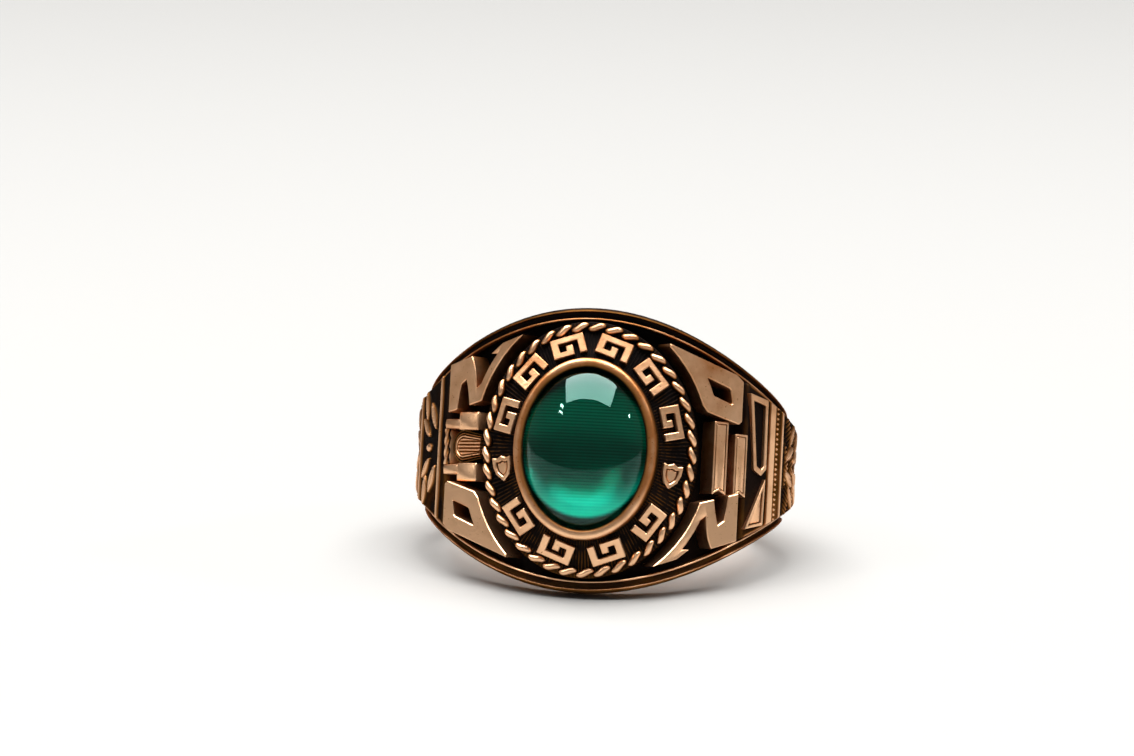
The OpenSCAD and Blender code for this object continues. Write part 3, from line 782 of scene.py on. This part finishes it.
# The torch's blocks: degrees round the finger, then place along it, width and length in bowl radii
TORCH = [(39.4, 1.55, 1.7, 1.1), (39.4, -1.55, 1.7, 1.1), (46.7, 1.38, 1.5, 0.6), (46.7, -1.38, 1.5, 0.6)]
BOWL_A, BAR_A = np.radians([41.4, 49.3])
STEM_L, STEM_W = 1.65, 0.7
FLUTE_W, FLUTE_D, FLUTES_TO = 0.2, 0.06, (0.44, 0.5)
# The grooves round the bowl, in shares of its width, and how far the bowl falls to its edge, in mm
GROOVES_AT, BOWL_GROOVE_W, BOWL_GROOVE_D = (0.53, 0.71, 0.88), 0.045, 0.14
BOWL_FALL, BOWL_WALL, BOWL_WORN = 0.12, 0.3, (-0.24, 0.0)
BASE_SIZE, BASE_DROP = np.array([0.4, 2.1]), 0.14
BAR_R, BAR_HALF_L, BAR_DROP, BAR_WORN = 0.17, 1.1, 0.12, (-0.2, 0.07)
# The bar's ridges, their height as a share of its radius, and its twist in radians to the millimetre
BAR_RIDGES, BAR_RIDGE_H, BAR_TWIST, BAR_END = 3, 0.22, 9.0, 0.05


def bowl(rings=64, straight=24, bend=49):
    """The torch's bowl and stem as nested U's that open towards the rope and narrow that way. The height
    is a function of a U's share of the full width: flutes along the middle, a cosine across, then
    ridges between grooves, and a wall."""
    share = np.concatenate([np.linspace(0, 1, rings), [1.0, 1.0]])[:, None]
    turn = np.linspace(-np.pi / 2, np.pi / 2, bend)
    back = -STEM_L * np.linspace(1, 0, straight, endpoint=False)
    along = np.concatenate([back, 0 * turn, back[::-1]])
    x = along + share * np.concatenate([0 * back, np.cos(turn), 0 * back])
    y = share * np.concatenate([-1 + 0 * back, np.sin(turn), 1 + 0 * back]) * mix(1, STEM_W, -along / STEM_L)
    flutes = FLUTE_D * (np.cos(y * BOWL_R * TURN / FLUTE_W) - 1) * (1 - smooth(*FLUTES_TO, share))
    grooves = sum(-BOWL_GROOVE_D * np.exp(-(((share - k) / BOWL_GROOVE_W) ** 2)) for k in GROOVES_AT)
    z = flutes + grooves - BOWL_FALL * smooth(0.5, 1.0, share)
    z[-2:] = np.array([-BOWL_WALL, -RELIEF_DEPTH])[:, None]
    z[:, [0, -1]] = -RELIEF_DEPTH
    points = np.stack([x * BOWL_R, y * BOWL_R, z], -1)
    return on_round(BOWL_A, SHOULDER_R, (points, smooth(*BOWL_WORN, z), quads(*z.shape)))


def twisted_bar(along=90, round_it=24):
    """A bar across the shoulder, twisted like a cord: ridges round its section, a cosine whose phase turns
    along its length. Its ends are drawn in to a point."""
    s = np.linspace(-1, 1, along)[:, None]
    y = s * BOWL_R * BAR_HALF_L
    q = np.arange(round_it)[None, :] * TURN / round_it
    ridged = 1 + BAR_RIDGE_H * np.cos(BAR_RIDGES * q + y * BAR_TWIST)
    r = BAR_R * ridged * np.where(np.abs(s) == 1, BAR_END, 1.0)
    points = np.stack(np.broadcast_arrays(r * np.cos(q), y, r * np.sin(q) - BAR_DROP), -1)
    faces = quads(along, round_it, close_cols=True)
    faces += [list(range(round_it)), list(range((along - 1) * round_it, along * round_it))]
    return on_round(BAR_A, SHOULDER_R, (points, smooth(*BAR_WORN, points[..., 2]), faces))


def torch():
    """The torch on the shoulder, between two pairs of blocks and a twisted bar on a low base."""
    blocks = [
        shoulder_block(np.radians(angle), y * BOWL_R, np.array([wide, long]) * BOWL_R)
        for angle, y, wide, long in TORCH
    ]
    base = shoulder_block(BAR_A, 0, BASE_SIZE * BOWL_R, height=-BASE_DROP)
    return joined(blocks + [base, bowl(), twisted_bar()])


# The side panels. Places on a panel are degrees past its near end. A leaf is [degrees, share of the half
# room, turn in degrees], and a stripe is [degrees, share of the stripe's width]
NEAR_LEAVES = [(8.5, 0.5, 62), (14.5, 0.36, 38), (14.8, 0.76, 80)]
FAR_LEAVES = [(28, 0.3, 25), (30, 0.72, 50), (37, 0.28, 25), (39, 0.68, 50), (46, 0.36, 30)]
RIGHT_STRIPES, LEFT_STRIPES = [(12.6, 2.2), (19.4, 1.0)], [(3.5, 0.8), (21, 1.0)]
# Outlines on the near end of the right panel, as shares of its half room: a pointed frame and a pennant
FRAME_OUT = [(-0.24, 1.01), (-0.08, -0.12), (0.1, -0.2), (0.22, -0.1), (0.2, 0.93)]
FRAME_IN = [(-0.16, 0.91), (-0.02, -0.06), (0.09, -0.11), (0.15, -0.06), (0.14, 0.85)]
PENNANT = [(0.21, -0.24), (-0.24, -1.01), (0.19, -0.93)]
PENNANT_EDGE, PENNANT_LINE, PENNANT_FIELD_H = 0.16, 0.08, 0.6 * FIGURE_H
NEAR_FIGURES, BEAD_AT, MILLED_AT, FEATHERS_FROM = 5.2, 11.5, 16.0, 22.0
BEAD_OVAL, BEAD_H = (0.5, 0.28), 1.2 * FIGURE_H
MILLED_W, MILLED_BEAD, MILLED_GROUND = 0.32, 0.3, (1.4, 0.5 * FIGURE_H)
# A leaf's groove and veins: heights in shares of the figure's, the rest in shares of its length
LEAF_BULGE, LEAF_GROOVE, LEAF_GROOVE_W = 1.15, 0.35, 0.018
VEIN_H, VEIN_L, VEIN_SLANT, VEINS_FROM = 0.12, 0.11, 1.4, 0.12
ROW_L, BARB_W = 1.3, 0.3  # mm from row to row of the feathering, and from barb to barb
WALL = 0.05  # how wide a low figure's wall is, seen from above
FAR = 40.0  # longer than any stripe, which the panel's own edge cuts off


def box(x, y, past, size):
    """How far a place lies inside the nearest side of a box, in mm, and negative outside it."""
    return np.minimum(size[0] / 2 - np.abs(x - at(past)), size[1] / 2 - np.abs(y))


def leaf(x, y, middle, turn):
    """A laurel leaf's height: a rounded lens with a groove down its middle and veins that slant from it."""
    c, s = np.cos(turn), np.sin(turn)
    u = ((x - middle[0]) * c + (y - middle[1]) * s) / LEAF_L
    v = ((y - middle[1]) * c - (x - middle[0]) * s) / LEAF_L
    edge = LEAF_W / LEAF_L / 2 * np.sin(np.pi * np.clip(u + 0.5, 0, 1))
    share = np.where(np.abs(u) < 0.5, 1 - np.abs(v) / np.maximum(edge, 1e-6), -1)
    body = np.sqrt(np.clip(share, 0, 1))
    groove = LEAF_GROOVE * np.exp(-((v / LEAF_GROOVE_W) ** 2))
    veins = VEIN_H * np.cos((u - np.abs(v) * VEIN_SLANT) * TURN / VEIN_L) * (share > VEINS_FROM)
    return FIGURE_H * np.clip(body * LEAF_BULGE - groove + veins * body, 0, None)


def panel_room(a):
    """Room for figures on a side panel, from its middle line."""
    return half_w(a) - BORDER_W - 2 * EDGE


def at(past):
    """Millimetres past the panel's near end, from degrees."""
    return np.radians(past) * PANEL_R


def beaded(place, spacing):
    """Beads side by side, from 0 between them to 1 on top: half of one plus a cosine."""
    return 0.5 + 0.5 * np.cos(place * TURN / spacing)


def panel_relief(x, y, right):
    """Height of the low relief at a place on the panel: x mm away from the head, y mm along the finger.
    Each figure is its height times a short S-curve of the distance into it, and the highest one wins."""

    def plate(distance, high=FIGURE_H):
        """A flat figure with steep walls."""
        return high * smooth(0, WALL, distance)

    def laurel(table):
        """Leaves in pairs, one on each side of the middle line."""
        for past, share, turn in table:
            half = share * panel_room(PANEL_FROM + np.radians(past))
            for side in (1, -1):
                yield leaf(x, y, (at(past), side * half), np.radians(turn) * side)

    stripes = RIGHT_STRIPES if right else LEFT_STRIPES
    layers = [plate(box(x, y, past, (STRIPE_W * share, FAR))) for past, share in stripes]
    layers += laurel(FAR_LEAVES)
    # Feathering under the far leaves: barbs that slant from the middle line, in rows that rise one by one
    row = (x + np.abs(y) / 2) / ROW_L
    barbs = mix(0.6, 1, beaded(x / 2 - np.abs(y), BARB_W))
    plume = FIGURE_H * (0.3 + 0.5 * (row - np.floor(row))) * barbs
    layers.append(plume * smooth(0, 0.3, x - at(FEATHERS_FROM)))
    if right:
        # A milled line between the stripes, beads side by side on a low ground
        wide, high = MILLED_GROUND
        section = np.clip(1 - ((x - at(MILLED_AT)) / (MILLED_W / 2)) ** 2, 0, 1)
        layers.append(FIGURE_H * np.sqrt(section) * mix(0.35, 1.0, beaded(y, MILLED_BEAD)))
        layers.append(plate(box(x, y, MILLED_AT, (wide, FAR)), high))
    else:
        layers += laurel(NEAR_LEAVES)
        long, wide = BEAD_OVAL
        away = np.hypot((x - at(BEAD_AT)) / long, y / wide)
        layers.append(BEAD_H * np.sqrt(np.clip(1 - away**2, 0, 1)))
    return np.max(layers, axis=0)


def near_end():
    """The right panel's near end: a pointed frame, and a pennant with a border round a lower field."""
    angle = PANEL_FROM + np.radians(NEAR_FIGURES)
    half = panel_room(angle)
    frame_out, frame_in, pennant = (np.array(outline) * half for outline in (FRAME_OUT, FRAME_IN, PENNANT))
    deep = FIGURE_H * 1.5
    small = {"chamfer": 0.03, "radius": 0.05}
    field = inset(pennant, PENNANT_EDGE + PENNANT_LINE)
    parts = [
        raised_ring(frame_out, frame_in, deep, FIGURE_H, chamfer=0.04, radius=0.06),
        raised_ring(pennant, inset(pennant, PENNANT_EDGE), deep, FIGURE_H, **small),
        raised(field, deep, PENNANT_FIELD_H, **small),
    ]
    return on_round(angle, PANEL_R, joined(parts))


# A panel's rounded edge: how high it is, and how far in, as shares of its height and of the rounding
LIFT = np.array([0.0, 0.75, 0.93, 1.0])
STEPS_IN = np.array([0.0, 0.0, 0.3, 1.0]) * EDGE
# From and to how far inside the panel's outline, in mm, the relief rises, the rubbed edge ends, and past the
# near end the painted shade on the rubbed edge gives way
END_MARGIN, SIDE_MARGIN, RUBBED_EDGE, NEAR_WALL = (0, 0.12), (0.12, 0.3), (0.1, 0.35), (0.1, 0.5)
# How polished the ground is, and the rubbed edge at the near end, kept dull as painted shade, and further on
GROUND_POLISH, NEAR_SHADED_POLISH, EDGE_POLISH = 0.22, 0.35, 0.85
FIGURE_WORN = (0.2, 0.95)  # from and to which share of its height a figure is polished


def side_panel(right, rows=250, cols=190):
    """A raised pad between the borders: a grid of angle round the finger and place along it, with rounded
    edges, walls down into the hoop, and the low relief added to its radius."""
    length = (PANEL_TO - PANEL_FROM) * PANEL_R
    down, across = np.linspace(0, 1, rows)[1:-1], np.linspace(-1, 1, cols)[1:-1]
    x = np.concatenate([STEPS_IN, mix(EDGE, length - EDGE, down), length - STEPS_IN[::-1]])
    a = PANEL_FROM + x / PANEL_R
    half = half_w(a)[:, None] - BORDER_W - DRAFT
    y = np.concatenate([STEPS_IN - half, (half - EDGE) * across, half - STEPS_IN[::-1]], 1)
    lift_x, lift_y = (np.concatenate([LIFT, np.ones(count - 2), LIFT[::-1]]) for count in (rows, cols))
    rise = np.minimum(lift_x[:, None], lift_y[None, :])

    from_end, from_side = np.minimum(x, length - x)[:, None], half - np.abs(y)
    margin = smooth(*END_MARGIN, from_end) * smooth(*SIDE_MARGIN, from_side)
    relief = panel_relief(x[:, None], y, right) * margin
    points = round_finger(a[:, None], mix(PANEL_LOW_R, PANEL_R, rise) + relief, y)
    rubbed = smooth(0.5, 1, rise) * (1 - smooth(*RUBBED_EDGE, np.minimum(from_side, x[:, None])))
    # Painted shade: the rubbed edge is duller at the panel's near end
    rubbed *= mix(NEAR_SHADED_POLISH, EDGE_POLISH, smooth(*NEAR_WALL, x)[:, None])
    polish = np.maximum(mix(GROUND_POLISH, 1.0, smooth(*FIGURE_WORN, relief / FIGURE_H)), rubbed)
    return points, polish, quads(*polish.shape)


cast("hoop", hoop(), sharp=50)
cast("crown", crown(), sharp=50, metal=bronze_hatched)
cast("rope", rope(), sharp=60)
cast("fret", fret())
cast("shields", shields())
cast("numerals_right", numerals())
cast("numerals_left", other_side(numerals()))
cast("ribbons", ribbons())
cast("torch", other_side(torch()), sharp=50)
cast("side_panel_right", side_panel(True), sharp=60)
cast("side_panel_left", other_side(side_panel(False)), sharp=60)
cast("frame_and_pennant", near_end())


# The stone
def stone(steps=160, dome_steps=40):
    """The cabochon: ovals that shrink by the cosine up its dome, a straight girdle and a flat back. The
    back and the girdle carry the foil."""
    t = np.arange(steps) * TURN / steps
    q = np.linspace(0, np.pi / 2, dome_steps, endpoint=False)
    rings = [(STONE_OVAL - STONE_GAP, SEAT_N + STONE_GAP), (STONE_OVAL, SEAT_N + 2 * STONE_GAP)]
    rings += [(STONE_OVAL * np.cos(k), GIRDLE_N + DOME_H * np.sin(k)) for k in q]
    points = np.concatenate([oval_point(axes, n, 0, t) for axes, n in rings])
    points = np.concatenate([points, [[0, -GIRDLE_N - DOME_H, 0]]])
    apex = len(points) - 1
    last = np.arange(steps) + (len(rings) - 1) * steps
    faces = [list(range(steps))] + quads(len(rings), steps, close_cols=True)
    faces += [[int(k), int(k2), apex] for k, k2 in zip(last, np.roll(last, -1))]
    part = (points, np.ones(len(points)), faces)
    piece = add_piece("stone_dome", part, [green_glass(), lined_foil()], "stone", sharp=50)
    foiled = np.zeros(len(faces), np.int32)
    foiled[: 1 + 2 * steps] = 1
    piece.data.polygons.foreach_set("material_index", foiled)


stone()


# Floor, light and camera, in metres
FLOOR_W, FLOOR_NEAR, FLOOR_FAR, FLOOR_BEND, FLOOR_H = 6.0, -1.5, 0.9, 0.6, 2.0


def floor():
    """A paper sweep: flat under the ring, then a quarter circle up behind it, carried straight across."""
    turn = np.linspace(0, np.pi / 2, 24)
    y = np.concatenate([[FLOOR_NEAR], FLOOR_FAR + FLOOR_BEND * np.sin(turn), [FLOOR_FAR + FLOOR_BEND]])
    z = np.concatenate([[0], FLOOR_BEND - FLOOR_BEND * np.cos(turn), [FLOOR_H]])
    x = np.array([-0.5, 0.5])[:, None] * FLOOR_W
    points = np.stack(np.broadcast_arrays(x, y, z), -1).reshape(-1, 3)
    mesh = bpy.data.meshes.new("floor")
    mesh.from_pydata(points.tolist(), [], quads(2, len(y)))
    mesh.shade_smooth()
    mesh.materials.append(white_paper())
    sweep = bpy.data.objects.new("floor", mesh)
    bpy.context.scene.collection.objects.link(sweep)


FACE = (0, -0.01, 0.01)  # what the lamps are aimed at
LAMPS = [  # name, place, size, watts
    ("window", (0.0, -0.02, 0.6), (0.78, 0.58), 15.5),
    ("left_lamp_high", (-0.42, -0.27, 0.51), (0.085, 0.025), 0.35),
    ("left_lamp_low", (-0.42, -0.32, 0.45), (0.085, 0.025), 0.35),
    ("right_lamp", (0.6, -0.01, 0.37), (0.05, 0.03), 0.6),
]
STUDIO_STRENGTH = 0.2


def softbox(name, place, size, power):
    """A rectangular soft light that faces the ring's face."""
    lamp = bpy.data.lights.new(name, "AREA")
    lamp.shape = "RECTANGLE"
    lamp.size, lamp.size_y = size
    lamp.energy = power
    light = bpy.data.objects.new(name, lamp)
    light.location = place
    light.rotation_mode = "QUATERNION"
    light.rotation_quaternion = (Vector(FACE) - Vector(place)).to_track_quat("-Z", "Y")
    bpy.context.scene.collection.objects.link(light)


def studio():
    """A faint white light from all round, and colours shown as they are."""
    world = bpy.data.worlds.new("studio")
    world.use_nodes = True
    sky = world.node_tree.nodes["Background"].inputs
    sky["Color"].default_value = (1, 1, 1, 1)
    sky["Strength"].default_value = STUDIO_STRENGTH
    bpy.context.scene.world = world
    bpy.context.scene.view_settings.view_transform = "Standard"


# The photograph's view: a long lens, a little to the right of the face and a little below its normal.
# The frame is 1134 by 756 pixels, and a millimetre at the finger's middle is 16.5 of them
FRAME_PX, PX_PER_MM = (1134, 756), 16.5
MIDDLE_PX = (606.8, 459.6)  # the finger's middle, from the frame's upper left corner
AZIMUTH, ELEVATION, ROLL = np.radians([5.9, 12.5, 1.3])
DISTANCE, SENSOR_W = 0.307, 36  # metres, and the sensor's millimetres


def camera():
    """A camera that aims beside the finger's middle, so that the middle falls on its own pixel."""
    lens = bpy.data.cameras.new("camera")
    lens.sensor_width = SENSOR_W
    lens.lens = SENSOR_W * PX_PER_MM * DISTANCE / MM / FRAME_PX[0]
    lens.clip_start, lens.clip_end = 0.02, 20
    made = bpy.data.objects.new("camera", lens)
    bpy.context.scene.collection.objects.link(made)
    middle = Vector(MIDDLE * MM)
    flat = Vector((np.sin(AZIMUTH), -np.cos(AZIMUTH), 0))
    back = flat * np.cos(ELEVATION) + Vector((0, 0, np.sin(ELEVATION)))
    right = Vector((np.cos(AZIMUTH), np.sin(AZIMUTH), 0))
    up = back.cross(right)
    right, up = right * np.cos(ROLL) + up * np.sin(ROLL), up * np.cos(ROLL) - right * np.sin(ROLL)
    right_px, down_px = (px - size / 2 for px, size in zip(MIDDLE_PX, FRAME_PX))
    aim = middle + (down_px * up - right_px * right) * (MM / PX_PER_MM)
    made.location = middle + back * DISTANCE
    made.rotation_mode = "QUATERNION"
    turn = (aim - made.location).to_track_quat("-Z", "Y")
    made.rotation_quaternion = turn @ Quaternion((0, 0, 1), ROLL)
    bpy.context.scene.camera = made


floor()
camera()
for lamp in LAMPS:
    softbox(*lamp)
studio()
